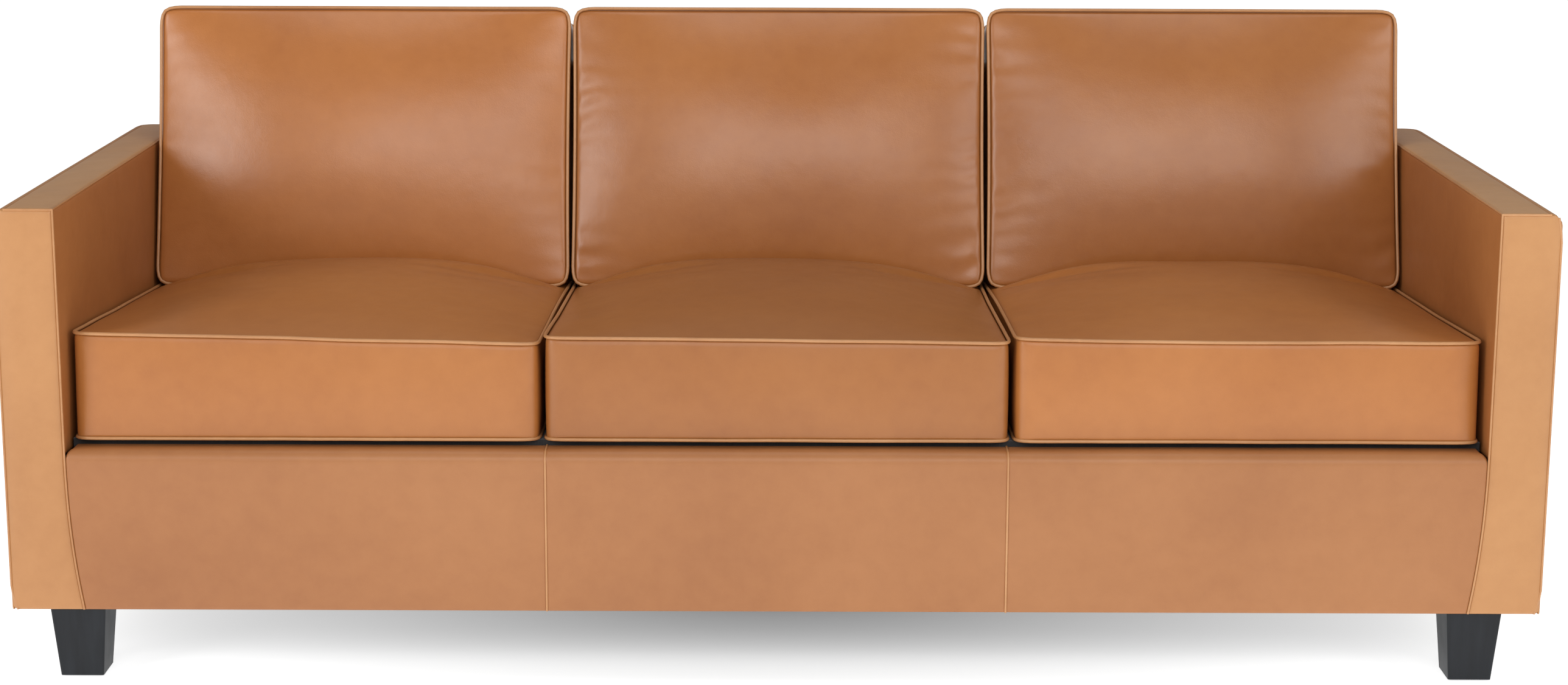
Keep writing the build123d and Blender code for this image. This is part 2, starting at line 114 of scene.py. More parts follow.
def add_mesh(name, verts, faces, material):
    mesh = bpy.data.meshes.new(name)
    mesh.from_pydata(verts, [], faces)
    mesh.polygons.foreach_set("use_smooth", [True] * len(mesh.polygons))
    mesh.update()
    return link(name, mesh, material)


def add_tube(name, points, radius, material, cyclic=False):
    """A round cord of leather along points, smooth between them."""
    curve = bpy.data.curves.new(name, "CURVE")
    curve.dimensions = "3D"
    curve.bevel_depth = radius
    curve.bevel_resolution = 3
    curve.resolution_u = 2
    spline = curve.splines.new("NURBS")
    spline.points.add(len(points) - 1)
    for place, point in zip(spline.points, points):
        place.co = (*point, 1)
    spline.use_cyclic_u = cyclic
    spline.use_endpoint_u = not cyclic
    spline.order_u = 3
    curve.use_fill_caps = not cyclic
    return link(name, curve, material)


def clamp(value, low, high):
    return max(low, min(high, value))


def soft_noise(point, size, seed):
    """Smooth noise between about -1 and 1, with bumps of a given size."""
    return noise.noise(Vector(point) / size + Vector((seed * 7.3, seed * 3.1, seed * 5.7)))


# ---- materials ----
class Nodes:
    """Makes and joins the shader nodes of one material."""

    def __init__(self, name):
        self.material = bpy.data.materials.new(name)
        self.material.use_nodes = True
        self.tree = self.material.node_tree
        self.shader = self.tree.nodes["Principled BSDF"]
        self.place = self.tree.nodes.new("ShaderNodeTexCoord").outputs["Object"]

    def add(self, kind, **settings):
        node = self.tree.nodes.new(kind)
        for key, value in settings.items():
            if key.startswith("in_"):
                node.inputs[key[3:].replace("_", " ")].default_value = value
            else:
                setattr(node, key, value)
        return node

    def join(self, source, target):
        self.tree.links.new(source, target)

    def noise(self, scale, detail=4.0, roughness=0.5, stretch=None):
        node = self.add("ShaderNodeTexNoise", in_Scale=scale, in_Detail=detail, in_Roughness=roughness)
        place = self.place
        if stretch:
            mapping = self.add("ShaderNodeMapping", in_Scale=stretch)
            self.join(place, mapping.inputs["Vector"])
            place = mapping.outputs["Vector"]
        self.join(place, node.inputs["Vector"])
        return node.outputs["Fac"]

    def ramp(self, source, stops):
        node = self.add("ShaderNodeValToRGB")
        ramp = node.color_ramp
        while len(ramp.elements) < len(stops):
            ramp.elements.new(0.5)
        for element, (position, color) in zip(ramp.elements, stops):
            element.position = position
            element.color = (*color, 1)
        self.join(source, node.inputs["Fac"])
        return node.outputs["Color"]

    def mix(self, first, second, factor, blend="MIX"):
        node = self.add("ShaderNodeMix", data_type="RGBA", blend_type=blend)
        self.join(first, node.inputs["A"])
        self.join(second, node.inputs["B"])
        if isinstance(factor, float):
            node.inputs["Factor"].default_value = factor
        else:
            self.join(factor, node.inputs["Factor"])
        return node.outputs["Result"]

    def span(self, source, low, high):
        node = self.add("ShaderNodeMapRange", in_To_Min=low, in_To_Max=high)
        self.join(source, node.inputs["Value"])
        return node.outputs["Result"]

    def bump(self, source, strength, distance, under=None):
        node = self.add("ShaderNodeBump", in_Strength=strength, in_Distance=distance)
        self.join(source, node.inputs["Height"])
        if under:
            self.join(under, node.inputs["Normal"])
        return node.outputs["Normal"]

    def finish(self, color, roughness, normal=None):
        self.join(color, self.shader.inputs["Base Color"])
        self.join(roughness, self.shader.inputs["Roughness"])
        if normal:
            self.join(normal, self.shader.inputs["Normal"])
        return self.material


def leather(name, deep, main, pale, gloss=0.40):
    """Semi-aniline leather: cloudy dye, fine pebbled grain, soft creases and a waxed top coat."""
    n = Nodes(name)
    clouds = n.ramp(n.noise(3.2, 4.0, 0.5), [(0.25, deep), (0.50, main), (0.78, pale)])
    mottle = n.ramp(n.noise(38.0, 4.0, 0.6), [(0.20, deep), (0.55, main), (0.90, pale)])
    patches = n.ramp(n.noise(1.7, 5.0, 0.6, stretch=(1.0, 1.0, 1.6)), [(0.32, deep), (0.55, main), (0.70, pale)])
    color = n.mix(n.mix(clouds, mottle, 0.38), patches, 0.30)
    pebble = n.add("ShaderNodeTexVoronoi", feature="F1", in_Scale=620.0)
    n.join(n.place, pebble.inputs["Vector"])
    grain = n.bump(pebble.outputs["Distance"], 0.10, 0.0006)
    creases = n.bump(n.noise(55.0, 6.0, 0.62), 0.15, 0.002, grain)
    waves = n.bump(n.noise(9.0, 3.0, 0.5), 0.16, 0.008, creases)
    roughness = n.span(n.noise(14.0, 5.0, 0.6), gloss - 0.07, gloss + 0.10)
    n.shader.inputs["Specular IOR Level"].default_value = 0.45
    n.shader.inputs["Coat Weight"].default_value = 0.22
    n.shader.inputs["Coat Roughness"].default_value = 0.30
    return n.finish(color, roughness, waves)


def black_wood():
    """Black satin stain over wood, with the grain just showing."""
    n = Nodes("black_satin_wood")
    grain = n.noise(60.0, 6.0, 0.6, stretch=(1.0, 1.0, 0.08))
    color = n.ramp(grain, [(0.30, (0.004, 0.005, 0.007)), (0.75, (0.011, 0.014, 0.018))])
    normal = n.bump(grain, 0.25, 0.0008)
    roughness = n.span(n.noise(30.0), 0.40, 0.54)
    n.shader.inputs["Specular IOR Level"].default_value = 0.30
    return n.finish(color, roughness, normal)


def board_wood():
    n = Nodes("raw_frame_wood")
    grain = n.noise(24.0, 6.0, 0.6, stretch=(0.15, 1.0, 1.0))
    color = n.ramp(grain, [(0.3, (0.36, 0.22, 0.11)), (0.7, (0.62, 0.44, 0.26))])
    return n.finish(color, n.span(grain, 0.55, 0.8), n.bump(grain, 0.2, 0.001))


def metal(name, color, low, high):
    n = Nodes(name)
    streaks = n.noise(180.0, 3.0, 0.5)
    n.shader.inputs["Metallic"].default_value = 1.0
    shade = tuple(channel * 0.75 for channel in color)
    return n.finish(n.ramp(streaks, [(0.3, shade), (0.7, color)]), n.span(streaks, low, high))


def cloth(name, dark, light, threads=900.0, sheen=0.2):
    """A plain weave: two sets of threads that cross."""
    n = Nodes(name)
    across = n.add("ShaderNodeTexWave", bands_direction="X", in_Scale=threads / 6.28, in_Distortion=0.4)
    along = n.add("ShaderNodeTexWave", bands_direction="Y", in_Scale=threads / 6.28, in_Distortion=0.4)
    n.join(n.place, across.inputs["Vector"])
    n.join(n.place, along.inputs["Vector"])
    weave = n.mix(across.outputs["Color"], along.outputs["Color"], 0.5)
    color = n.mix(n.ramp(weave, [(0.2, dark), (0.8, light)]),
                  n.ramp(n.noise(12.0), [(0.3, dark), (0.7, light)]), 0.4)
    n.shader.inputs["Sheen Weight"].default_value = sheen
    return n.finish(color, n.span(n.noise(60.0), 0.8, 0.95), n.bump(weave, 0.3, 0.0004))


def foam():
    n = Nodes("cream_foam")
    cells = n.noise(400.0, 2.0, 0.5)
    color = n.ramp(cells, [(0.3, (0.60, 0.54, 0.38)), (0.7, (0.80, 0.75, 0.60))])
    return n.finish(color, n.span(cells, 0.85, 0.98), n.bump(cells, 0.4, 0.001))


def plastic(name, color):
    n = Nodes(name)
    texture = n.noise(250.0, 3.0, 0.5)
    shade = tuple(channel * 0.7 for channel in color)
    return n.finish(n.ramp(texture, [(0.3, shade), (0.7, color)]), n.span(texture, 0.45, 0.6),
                    n.bump(texture, 0.1, 0.0004))


def floor_material():
    n = Nodes("pale_floor")
    haze = n.noise(1.5, 3.0, 0.5)
    color = n.ramp(haze, [(0.3, (0.90, 0.90, 0.90)), (0.7, (0.93, 0.93, 0.93))])
    # The floor glows less near the sofa and more further out: a painted shadow under and around the sofa.
    stretched = n.add("ShaderNodeMapping", in_Scale=(1 / 1.25, 1 / 0.75, 1))
    n.join(n.place, stretched.inputs["Vector"])
    distance = n.add("ShaderNodeVectorMath", operation="LENGTH")
    n.join(stretched.outputs["Vector"], distance.inputs[0])
    painted_shadow_glow = n.add("ShaderNodeMapRange", in_From_Min=0.15, in_From_Max=1.0, in_To_Min=0.24, in_To_Max=0.82)
    n.join(distance.outputs["Value"], painted_shadow_glow.inputs["Value"])
    n.shader.inputs["Emission Color"].default_value = (1, 1, 1, 1)
    n.join(painted_shadow_glow.outputs["Result"], n.shader.inputs["Emission Strength"])
    return n.finish(color, n.span(haze, 0.6, 0.7))


def hide(name, main, gloss, shade=1.0):
    """Leather of one colour, whose clouds are darker and paler than it; shade makes it all darker or paler."""
    main = tuple(channel * shade for channel in main)
    deep = (main[0] * 0.78, main[1] * 0.70, main[2] * 0.63)
    pale = (main[0] * 1.16, main[1] * 1.25, main[2] * 1.40)
    return leather(name, deep, main, pale, gloss)


ARM_LEATHER = hide("tan_leather_arms", (0.45, 0.208, 0.071), 0.46)
# The arm tops are paler than the rest of the arm: a painted sheen on the top faces.
ARM_TOP_SHEEN_LEATHER = hide("tan_leather_arm_tops_painted_sheen", (0.53, 0.270, 0.104), 0.38)
# The arm insides are darker than the rest of the arm: painted shade on the inner faces.
ARM_INSIDE_SHADE_LEATHER = hide("tan_leather_arm_insides_painted_shade", (0.39, 0.143, 0.038), 0.50)
RAIL_LEATHER = hide("tan_leather_rail", (0.345, 0.135, 0.041), 0.50)
SEAT_SHADES = {"left": 0.98, "middle": 0.84, "right": 1.02}
BACK_SHADES = {"left": 1.08, "middle": 0.95, "right": 0.90}
CUSHION_LEATHERS = {
    "seat": {side: hide(f"tan_leather_seat_{side}", (0.405, 0.147, 0.034), 0.40, SEAT_SHADES[side])
             for side in SIDES},
    "back": {side: hide(f"tan_leather_back_{side}", (0.40, 0.145, 0.037), 0.30, BACK_SHADES[side])
             for side in SIDES},
}
WELT_LEATHER = leather("tan_leather_piping", (0.34, 0.140, 0.048), (0.46, 0.220, 0.085), (0.62, 0.345, 0.165), 0.38)
BLACK_WOOD = black_wood()
BOARD = board_wood()
SPRING_STEEL = metal("spring_steel", (0.30, 0.30, 0.31), 0.3, 0.45)
ZINC = metal("zinc_plate", (0.60, 0.60, 0.58), 0.25, 0.4)
FOAM = foam()
BLACK_CLOTH = cloth("black_non_woven", (0.012, 0.012, 0.013), (0.035, 0.035, 0.037))
WEBBING = cloth("elastic_webbing", (0.03, 0.03, 0.03), (0.14, 0.13, 0.12), 500.0)
BLACK_PLASTIC = plastic("black_plastic", (0.030, 0.030, 0.032))
SLOT_MATERIALS = {
    "tan_leather": ARM_LEATHER, "welt_leather": WELT_LEATHER, "black_wood": BLACK_WOOD,
    "frame_wood": BOARD, "spring_steel": SPRING_STEEL, "zinc_steel": ZINC, "foam": FOAM,
    "webbing": WEBBING, "black_cloth": BLACK_CLOTH, "glide_plastic": BLACK_PLASTIC,
}


def dress_cad_nodes():
    """Gives each CAD node the material of its slot."""
    for part in frame["record"]["subparts"]:
        obj = frame["nodes"][part["node"]]
        obj.data.materials.clear()
        obj.data.materials.append(SLOT_MATERIALS[part["material_slot"]])


# ---- cushions ----
def local_axes(node, joint, up_axis):
    """Origin and axes of a cushion: x along the sofa, y and z in its own plane, from its welts' extent."""
    travel = Vector(JOINTS[joint]["axis"]).normalized()
    y_axis = travel if up_axis else -travel
    x_axis = Vector((1, 0, 0))
    z_axis = x_axis.cross(y_axis)
    points = [v.co for v in frame["nodes"][node].data.vertices]
    spans = [[p.dot(axis) for p in points] for axis in (x_axis, y_axis, z_axis)]
    low = [min(span) for span in spans]
    high = [max(span) for span in spans]
    outer = 0.0025 + WELT_OUTSET
    origin = x_axis * (low[0] + high[0]) / 2 + y_axis * (low[1] + outer) + z_axis * low[2]
    size = (high[0] - low[0] - 2 * outer, high[1] - low[1] - 2 * outer, high[2] - low[2])
    return origin, (x_axis, y_axis, z_axis), size


def to_world(place, point):
    origin, axes, _ = place
    return origin + axes[0] * point[0] + axes[1] * point[1] + axes[2] * point[2]


def round_plan(x, y, width, length, corner):
    """Moves a point of a rectangle so that the rectangle's corners become round."""
    centre_x = clamp(x, corner - width / 2, width / 2 - corner)
    centre_y = clamp(y, corner, length - corner)
    dx, dy = x - centre_x, y - centre_y
    distance = math.hypot(dx, dy)
    if dx == 0 or dy == 0:
        return x, y
    scale = max(abs(dx), abs(dy)) / distance
    return centre_x + dx * scale, centre_y + dy * scale


def boxed_grid(width, length, height, step):
    """A closed box of even quads with rounded upright edges. Returns points, faces and grid places."""
    counts = [max(2, round(side / step)) for side in (width, length, height)]
    nx, ny, nz = counts
    index = {}
    points = []
    for i in range(nx + 1):
        for j in range(ny + 1):
            for k in range(nz + 1):
                if i in (0, nx) or j in (0, ny) or k in (0, nz):
                    x, y = round_plan((i / nx - 0.5) * width, j / ny * length, width, length, CUSHION_CORNER)
                    index[i, j, k] = len(points)
                    points.append((x, y, k / nz * height))
    faces = []
    for k, turn in ((0, True), (nz, False)):
        for i in range(nx):
            for j in range(ny):
                quad = [index[i, j, k], index[i + 1, j, k], index[i + 1, j + 1, k], index[i, j + 1, k]]
                faces.append(quad[::-1] if turn else quad)
    for j, turn in ((0, False), (ny, True)):
        for i in range(nx):
            for k in range(nz):
                quad = [index[i, j, k], index[i + 1, j, k], index[i + 1, j, k + 1], index[i, j, k + 1]]
                faces.append(quad[::-1] if turn else quad)
    for i, turn in ((0, True), (nx, False)):
        for j in range(ny):
            for k in range(nz):
                quad = [index[i, j, k], index[i, j + 1, k], index[i, j + 1, k + 1], index[i, j, k + 1]]
                faces.append(quad[::-1] if turn else quad)
    return points, faces, index, counts


def edge_loop(index, counts, k):
    """Indices of the points round the edge of the bottom (k = 0) or top of a boxed grid, in order."""
    nx, ny, _ = counts
    loop = [index[i, 0, k] for i in range(nx)]
    loop += [index[nx, j, k] for j in range(ny)]
    loop += [index[i, ny, k] for i in range(nx, 0, -1)]
    loop += [index[0, j, k] for j in range(ny, 0, -1)]
    return loop


def inflate(points, faces, held, pressure, cap):
    """Blows a closed cover up as cloth round its fixed seams, and returns the points it settles to."""
    mesh = bpy.data.meshes.new("cover_to_inflate")
    mesh.from_pydata(points, [], faces)
    obj = bpy.data.objects.new("cover_to_inflate", mesh)
    bpy.context.collection.objects.link(obj)
    group = obj.vertex_groups.new(name="seams")
    group.add(held, 1.0, "REPLACE")
    modifier = obj.modifiers.new("Cloth", "CLOTH")
    cloth_settings = modifier.settings
    cloth_settings.quality = 6
    cloth_settings.mass = 0.35
    cloth_settings.tension_stiffness = 18
    cloth_settings.compression_stiffness = 18
    cloth_settings.shear_stiffness = 8
    cloth_settings.bending_stiffness = 6
    cloth_settings.use_pressure = True
    cloth_settings.uniform_pressure_force = pressure
    cloth_settings.effector_weights.gravity = 0
    cloth_settings.vertex_group_mass = "seams"
    modifier.collision_settings.use_self_collision = False
    modifier.collision_settings.use_collision = False
    scene = bpy.context.scene
    modifier.point_cache.frame_start = 1
    modifier.point_cache.frame_end = 20
    for step in range(1, 21):
        scene.frame_set(step)
    settled = obj.evaluated_get(bpy.context.evaluated_depsgraph_get()).to_mesh()
    result = []
    for start, vertex in zip(points, settled.vertices):
        move = vertex.co - Vector(start)
        if move.length > cap:
            move *= cap / move.length
        result.append(Vector(start) + move)
    scene.frame_set(1)
    bpy.data.objects.remove(obj)
    return result


def pillow(u, v, sharpness=2.6):
    """Height of a stuffed panel, 1 in the middle and 0 at its seams; u and v run from -1 to 1."""
    return (1 - abs(u) ** sharpness) * (1 - abs(v) ** sharpness)


def seat_rise(along):
    """How the crown of a seat rises from its front edge and is pressed down under the back cushion."""
    climb = 1 - (1 - clamp(along / 0.78, 0, 1)) ** 2.2
    press = clamp((0.885 - along) / 0.075, 0.06, 1)
    return climb * press * press * (3 - 2 * press)


def seat_start(size):
    """A seat cover before it is blown up, already crowned towards the back."""
    width, length, height = size
    points, faces, index, counts = boxed_grid(width, length, height, CUSHION_STEP)
    for key, number in index.items():
        x, y, z = points[number]
        if key[2] == counts[2]:
            z += SEAT_CROWN * (1 - abs(2 * x / width) ** 4) * seat_rise(y / length)
        points[number] = (x, y, z)
    return points, faces, index, counts


def back_start(size):
    """A back cover before it is blown up, already bulging at the front."""
    width, length, height = size
    points, faces, index, counts = boxed_grid(width, length, height, CUSHION_STEP)
    for key, number in index.items():
        x, y, z = points[number]
        if key[2] == counts[2]:
            z += BACK_CROWN * pillow(2 * x / width, 2 * y / length - 1, 2.4)
        points[number] = (x, y, z)
    return points, faces, index, counts


def pucker(x, y, width, length, seed):
    """Height of the gathers where a front panel is eased into its side seams, between -1 and 1."""
    inward = max(0.0, width / 2 - abs(x))
    wander = 0.55 * soft_noise((x * 0.3, y, 0), 0.11, seed) + 0.5 * soft_noise((x, y * 0.4, 0), 0.05, seed + 1)
    fold = math.sin(math.tau * (y / PUCKER_PITCH + wander + (1 if x > 0 else 2.4)))
    strength = 0.55 + 0.9 * soft_noise((0.2 if x > 0 else 0.7, y, 0), 0.09, seed + 2)
    ends = clamp(min(y, length - y) / 0.03, 0, 1)
    return fold * clamp(strength, 0, 1) * ends * min(1, inward / 0.008) * math.exp(-inward / PUCKER_REACH)


def make_cushion(kind, side, place, start, settled, seed):
    """One cushion from a settled cover: its own small differences, then cover and two welts."""
    points, faces, index, counts = start
    width, length, height = place[2]
    body = f"{kind}_cushion_{side}"
    flip = -1 if side == "right" else 1
    shaped = []
    for base, point in zip(points, settled):
        x, y, z = point
        u, v = 2 * x / width, 2 * y / length - 1
        slump = 0.0020 * soft_noise((x * flip, y, z), 0.16, seed)
        slump += 0.0045 * soft_noise((x * flip, y, z), 0.34, seed + 3) * pillow(clamp(u, -1, 1), clamp(v, -1, 1))
        z += slump * clamp(z / height, 0, 1)
        if kind == "back" and base[2] > height * 0.999:
            z += PUCKERS[side] * pucker(x, y, width, length, seed)
        if kind == "seat":
            z += SEAT_TILT[side] * x / width * clamp(z / height, 0, 1) * clamp(1 - y / length, 0, 1)
            y -= BOXING_WAVE * soft_noise((x * flip, 0, z * 0.4), 0.075, seed + 6) * math.exp(-abs(base[1]) / 0.02)
        side_give = 0.0025
        x = clamp(x, base[0] - side_give, base[0] + side_give) if abs(base[0]) > width * 0.499 else x
        x -= 0.0022 * (1 - v * v) * (1 if x > 0 else -1) * (abs(u) ** 6)
        z = max(z, 0.0)
        shaped.append(Vector((x, y, z)))
    cover = add_mesh(f"{kind}_cover_{side}", [to_world(place, p) for p in shaped], faces,
                     CUSHION_LEATHERS[kind][side])
    smoothing = cover.modifiers.new("Subdivision", "SUBSURF")
    smoothing.levels = 1
    smoothing.render_levels = 1
    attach(cover, body)
    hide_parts(f"{kind}_cushion_cover_{side}")
    make_core(kind, side, place, shaped, faces)
    make_zip(kind, side, place, shaped, index, counts)
    for k, name in ((0, "low"), (counts[2], "high")):
        loop = edge_loop(index, counts, k)
        middle = Vector((0, length / 2, 0))
        path = []
        for number in loop[::2]:
            point = shaped[number]
            outward = (point - middle)
            outward.z = 0
            square = Vector((clamp(point.x, -width / 2 + 0.03, width / 2 - 0.03),
                             clamp(point.y, 0.03, length - 0.03), 0))
            outward = Vector((point.x, point.y, 0)) - square
            lift = 0.0008 if k else 0.0022
            path.append(to_world(place, point + outward.normalized() * WELT_OUTSET + Vector((0, 0, lift))))
        welt = add_tube(f"{kind}_welt_{name}_{side}", path, WELT, WELT_LEATHER, cyclic=True)
        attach(welt, body)
        if k == 0:
            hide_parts(f"{kind}_cushion_welts_{side}")
    return cover


def make_core(kind, side, place, shaped, faces):
    """The stuffing inside a cover: the same shape, a little smaller all round."""
    width, length, height = place[2]
    middle = Vector((0, length / 2, height / 2))
    shrink = [1 - CORE_INSET / size for size in (width, length, height)]
    inner = [middle + Vector([(p[i] - middle[i]) * shrink[i] for i in range(3)]) for p in shaped]
    core = add_mesh(f"{kind}_core_{side}", [to_world(place, p) for p in inner], faces, FOAM)
    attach(core, f"{kind}_cushion_{side}")
    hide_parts(f"{kind}_cushion_core_{side}")


def add_boxes(name, boxes, material):
    """One mesh of many small blocks, each given by its middle and three half edges."""
    verts, faces = [], []
    corners = [(-1, -1, -1), (1, -1, -1), (1, 1, -1), (-1, 1, -1), (-1, -1, 1), (1, -1, 1), (1, 1, 1), (-1, 1, 1)]
    sides = [(0, 3, 2, 1), (4, 5, 6, 7), (0, 1, 5, 4), (1, 2, 6, 5), (2, 3, 7, 6), (3, 0, 4, 7)]
    for middle, across, along, out in boxes:
        first = len(verts)
        verts += [middle + across * a + along * b + out * c for a, b, c in corners]
        faces += [tuple(first + corner for corner in quad) for quad in sides]
    return add_mesh(name, verts, faces, material)


def make_zip(kind, side, place, shaped, index, counts):
    """A zip in the hidden boxing of a cushion: a tape, its teeth and a slider at one end."""
    nx, ny, nz = counts
    j, outward = (ny, Vector((0, 1, 0))) if kind == "seat" else (0, Vector((0, -1, 0)))
    margin = round(nx * 0.14)
    line = [shaped[index[i, j, nz // 2]] + outward * 0.0008 for i in range(margin, nx - margin + 1)]
    up = Vector((0, 0, ZIP_TAPE))
    strip = [to_world(place, p + up * step + outward * lift) for p in line
             for step, lift in ((-1, 0), (1, 0), (1, 0.0007), (-1, 0.0007))]
    faces = [(a + s, a + (s + 1) % 4, a + 4 + (s + 1) % 4, a + 4 + s)
             for a in range(0, 4 * (len(line) - 1), 4) for s in range(4)]
    last = len(strip) - 4
    faces += [(3, 2, 1, 0), (last, last + 1, last + 2, last + 3)]
    tape = add_mesh(f"{kind}_zip_tape_{side}", strip, faces, BLACK_CLOTH)
    axes = place[1]
    out = axes[0] * 0 + axes[1] * outward.y
    run = (line[-1] - line[0]).length
    teeth = []
    for number in range(int(run / ZIP_PITCH)):
        share = number * ZIP_PITCH / run * (len(line) - 1)
        low = min(int(share), len(line) - 2)
        point = line[low].lerp(line[low + 1], share - low)
        shift = 0.0006 if number % 2 else -0.0006
        middle = to_world(place, point + outward * 0.0014 + Vector((0, 0, shift)))
        teeth.append((middle, axes[0] * 0.0010, axes[2] * 0.0021, out * 0.0009))
    middle = to_world(place, line[-1] + outward * 0.0028 - Vector((0.006, 0, 0)))
    teeth.append((middle, axes[0] * 0.0062, axes[2] * 0.0046, out * 0.0019))
    metal_parts = add_boxes(f"{kind}_zip_teeth_{side}", teeth, ZINC)
    for piece in (tape, metal_parts):
        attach(piece, f"{kind}_cushion_{side}")


def make_cushions():
    for kind, joint, up_axis, start_of, pressure, cap in (
            ("back", "back_cushion_{}_lift", True, back_start, 14.0, 0.030),
            ("seat", "seat_cushion_{}_slide", False, seat_start, 6.0, 0.026)):
        places = [local_axes(f"{kind}_cushion_welts_{side}", joint.format(side), up_axis) for side in SIDES]
        start = start_of(places[0][2])
        points, faces, index, counts = start
        held = edge_loop(index, counts, 0) + edge_loop(index, counts, counts[2])
        settled = [Vector(p) for p in points]
        settled = inflate(points, faces, held, pressure, cap)
        for number, (side, place) in enumerate(zip(SIDES, places)):
            make_cushion(kind, side, place, start, settled, seed=number * 2 + len(kind))


# ---- sewn panels over the frame ----
def seam_steps(length, step):
    """Places along one side of a panel, close together beside its seams."""
    near = [0, 0.15 * SEAM_ROLL, 0.4 * SEAM_ROLL, 0.71 * SEAM_ROLL, 1.6 * SEAM_ROLL, 3.5 * SEAM_ROLL]
    inner = length - 2 * near[-1]
    count = max(1, round(inner / step))
    middle = [near[-1] + inner * i / count for i in range(1, count)]
    return near + middle + [length - place for place in reversed(near)]


def roll(distance):
    """How far leather turns in at a distance from its seam."""
    reach = SEAM_ROLL * math.sqrt(0.5)
    if distance >= reach:
        return 0.0
    return SEAM_ROLL - math.sqrt(SEAM_ROLL ** 2 - (reach - distance) ** 2)


def sheet(surface, size, side, steps, puff, seed, gather=0.0, lift=0.0, thickness=LEATHER, edge=0.0):
    """Points and faces of a closed sheet over surface(u, v), which gives a point and its outward normal.
    The surface is given for the right half; side = -1 mirrors it. The sheet starts `lift` below the surface
    and stops `edge` short of the surface's sides."""
    u_length, v_length = size
    us = [clamp(u, edge, u_length - edge) for u in seam_steps(u_length, steps[0])]
    vs = [clamp(v, edge, v_length - edge) for v in seam_steps(v_length, steps[1])]
    us, vs = sorted(set(us)), sorted(set(vs))
    outer, inner = [], []
    for u in us:
        for v in vs:
            point, normal = surface(u / u_length, v / v_length)
            turned = max(roll(min(u, u_length - u)), roll(min(v, v_length - v)))
            fill = puff * pillow(2 * u / u_length - 1, 2 * v / v_length - 1, 4)
            fill += 0.0006 * soft_noise(point, 0.12, seed) * pillow(2 * u / u_length - 1, 2 * v / v_length - 1, 6)
            below = v_length - v
            fold = math.sin(math.tau * (u / 0.017 + 0.6 * soft_noise(point, 0.03, seed + 5)))
            fill += gather * fold * min(1, below / 0.006) * math.exp(-below / 0.014)
            top = point + normal * (fill - turned - lift)
            under = top - normal * thickness
            outer.append((top.x * side, top.y, top.z))
            inner.append((under.x * side, under.y, under.z))
    rows, columns = len(us), len(vs)
    total = rows * columns
    faces = []
    for i in range(rows - 1):
        for j in range(columns - 1):
            a, b = i * columns + j, (i + 1) * columns + j
            faces.append((a, b, b + 1, a + 1))
            faces.append((a + total, a + 1 + total, b + 1 + total, b + total))
    border = [i * columns for i in range(rows)]
    border += [(rows - 1) * columns + j for j in range(1, columns)]
    border += [i * columns + columns - 1 for i in range(rows - 2, -1, -1)]
    border += [j for j in range(columns - 2, 0, -1)]
    for first, second in zip(border, border[1:] + border[:1]):
        faces.append((second, first, first + total, second + total))
    if side < 0:
        faces = [face[::-1] for face in faces]
    return outer + inner, faces


def sewn_panel(name, surface, size, side, nodes, puff=0.0015, steps=(0.03, 0.03), seed=1, material=None,
               gather=0.0):
    """A panel of leather, which replaces its CAD nodes."""
    points, faces = sheet(surface, size, side, steps, puff, seed, gather)
    panel = add_mesh(name, points, faces, material or ARM_LEATHER)
    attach(panel, "frame")
    if nodes:
        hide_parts(*nodes)
    return panel


def padding_under(name, sheets, side, node):
    """The padding under some panels of leather: one piece made of a sheet under each."""
    points, faces = [], []
    for surface, size, steps, puff, seed in sheets:
        more_points, more_faces = sheet(surface, size, side, steps, puff, seed, lift=LEATHER + 0.0006,
                                        thickness=PADDING, edge=PADDING_EDGE)
        first = len(points)
        points += more_points
        faces += [tuple(first + corner for corner in face) for face in more_faces]
    piece = add_mesh(name, points, faces, FOAM)
    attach(piece, "frame")
    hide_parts(node)


def flare(z):
    """How far an arm's front panel spreads over the rail at a height."""
    return FLARE * clamp((RAIL_TOP - z) / (RAIL_TOP - BASE), 0, 1) ** 2.2


def corner_inset(distance, radius):
    """How far a rounded corner is cut back at a distance from its end."""
    if distance >= radius:
        return 0.0
    reach = min(radius - distance, radius)
    return radius - math.sqrt(radius ** 2 - reach ** 2)


def arm_front(u, v):
    inset = 0.29 * SEAM_ROLL
    z = BASE + (ARM_TOP - inset - BASE) * v
    inner = INNER_X + inset - flare(z)
    outer = HALF_W - inset
    outer -= corner_inset(ARM_TOP - z, ARM_ROUND) + corner_inset(z - BASE, 0.008)
    return Vector((inner + (outer - inner) * u, FRONT, z)), Vector((0, -1, 0))


def arm_top(u, v):
    inset = 0.29 * SEAM_ROLL
    low, high = FRONT + inset, HALF_D - ARM_ROUND
    y = low + (high - low) * v
    inner = INNER_X + inset
    outer = HALF_W - ARM_ROUND - corner_inset(high - y, REAR_ROUND - ARM_ROUND)
    return Vector((inner + (outer - inner) * u, y, ARM_TOP)), Vector((0, 0, 1))


def arm_inside(u, v):
    inset = 0.29 * SEAM_ROLL
    y = FRONT + inset + (HALF_D - 0.003 - FRONT - inset) * u
    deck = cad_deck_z(y) - 0.017
    z = deck + (ARM_TOP - inset - deck) * v
    return Vector((INNER_X, y, z)), Vector((-1, 0, 0))


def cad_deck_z(y):
    """Height of the sloping deck, from the deck cloth's two ends."""
    low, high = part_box("seat_deck_cloth")
    share = (y - low.y) / (high.y - low.y)
    return high.z + (low.z - high.z) * share


def outside_plan():
    """Length of the arm's outer outline, from the front corner round the rear to the inner face."""
    side_run = HALF_D - REAR_ROUND - FRONT
    turn = math.pi / 2 * REAR_ROUND
    rear_run = HALF_W - REAR_ROUND - INNER_X
    return side_run, turn, rear_run


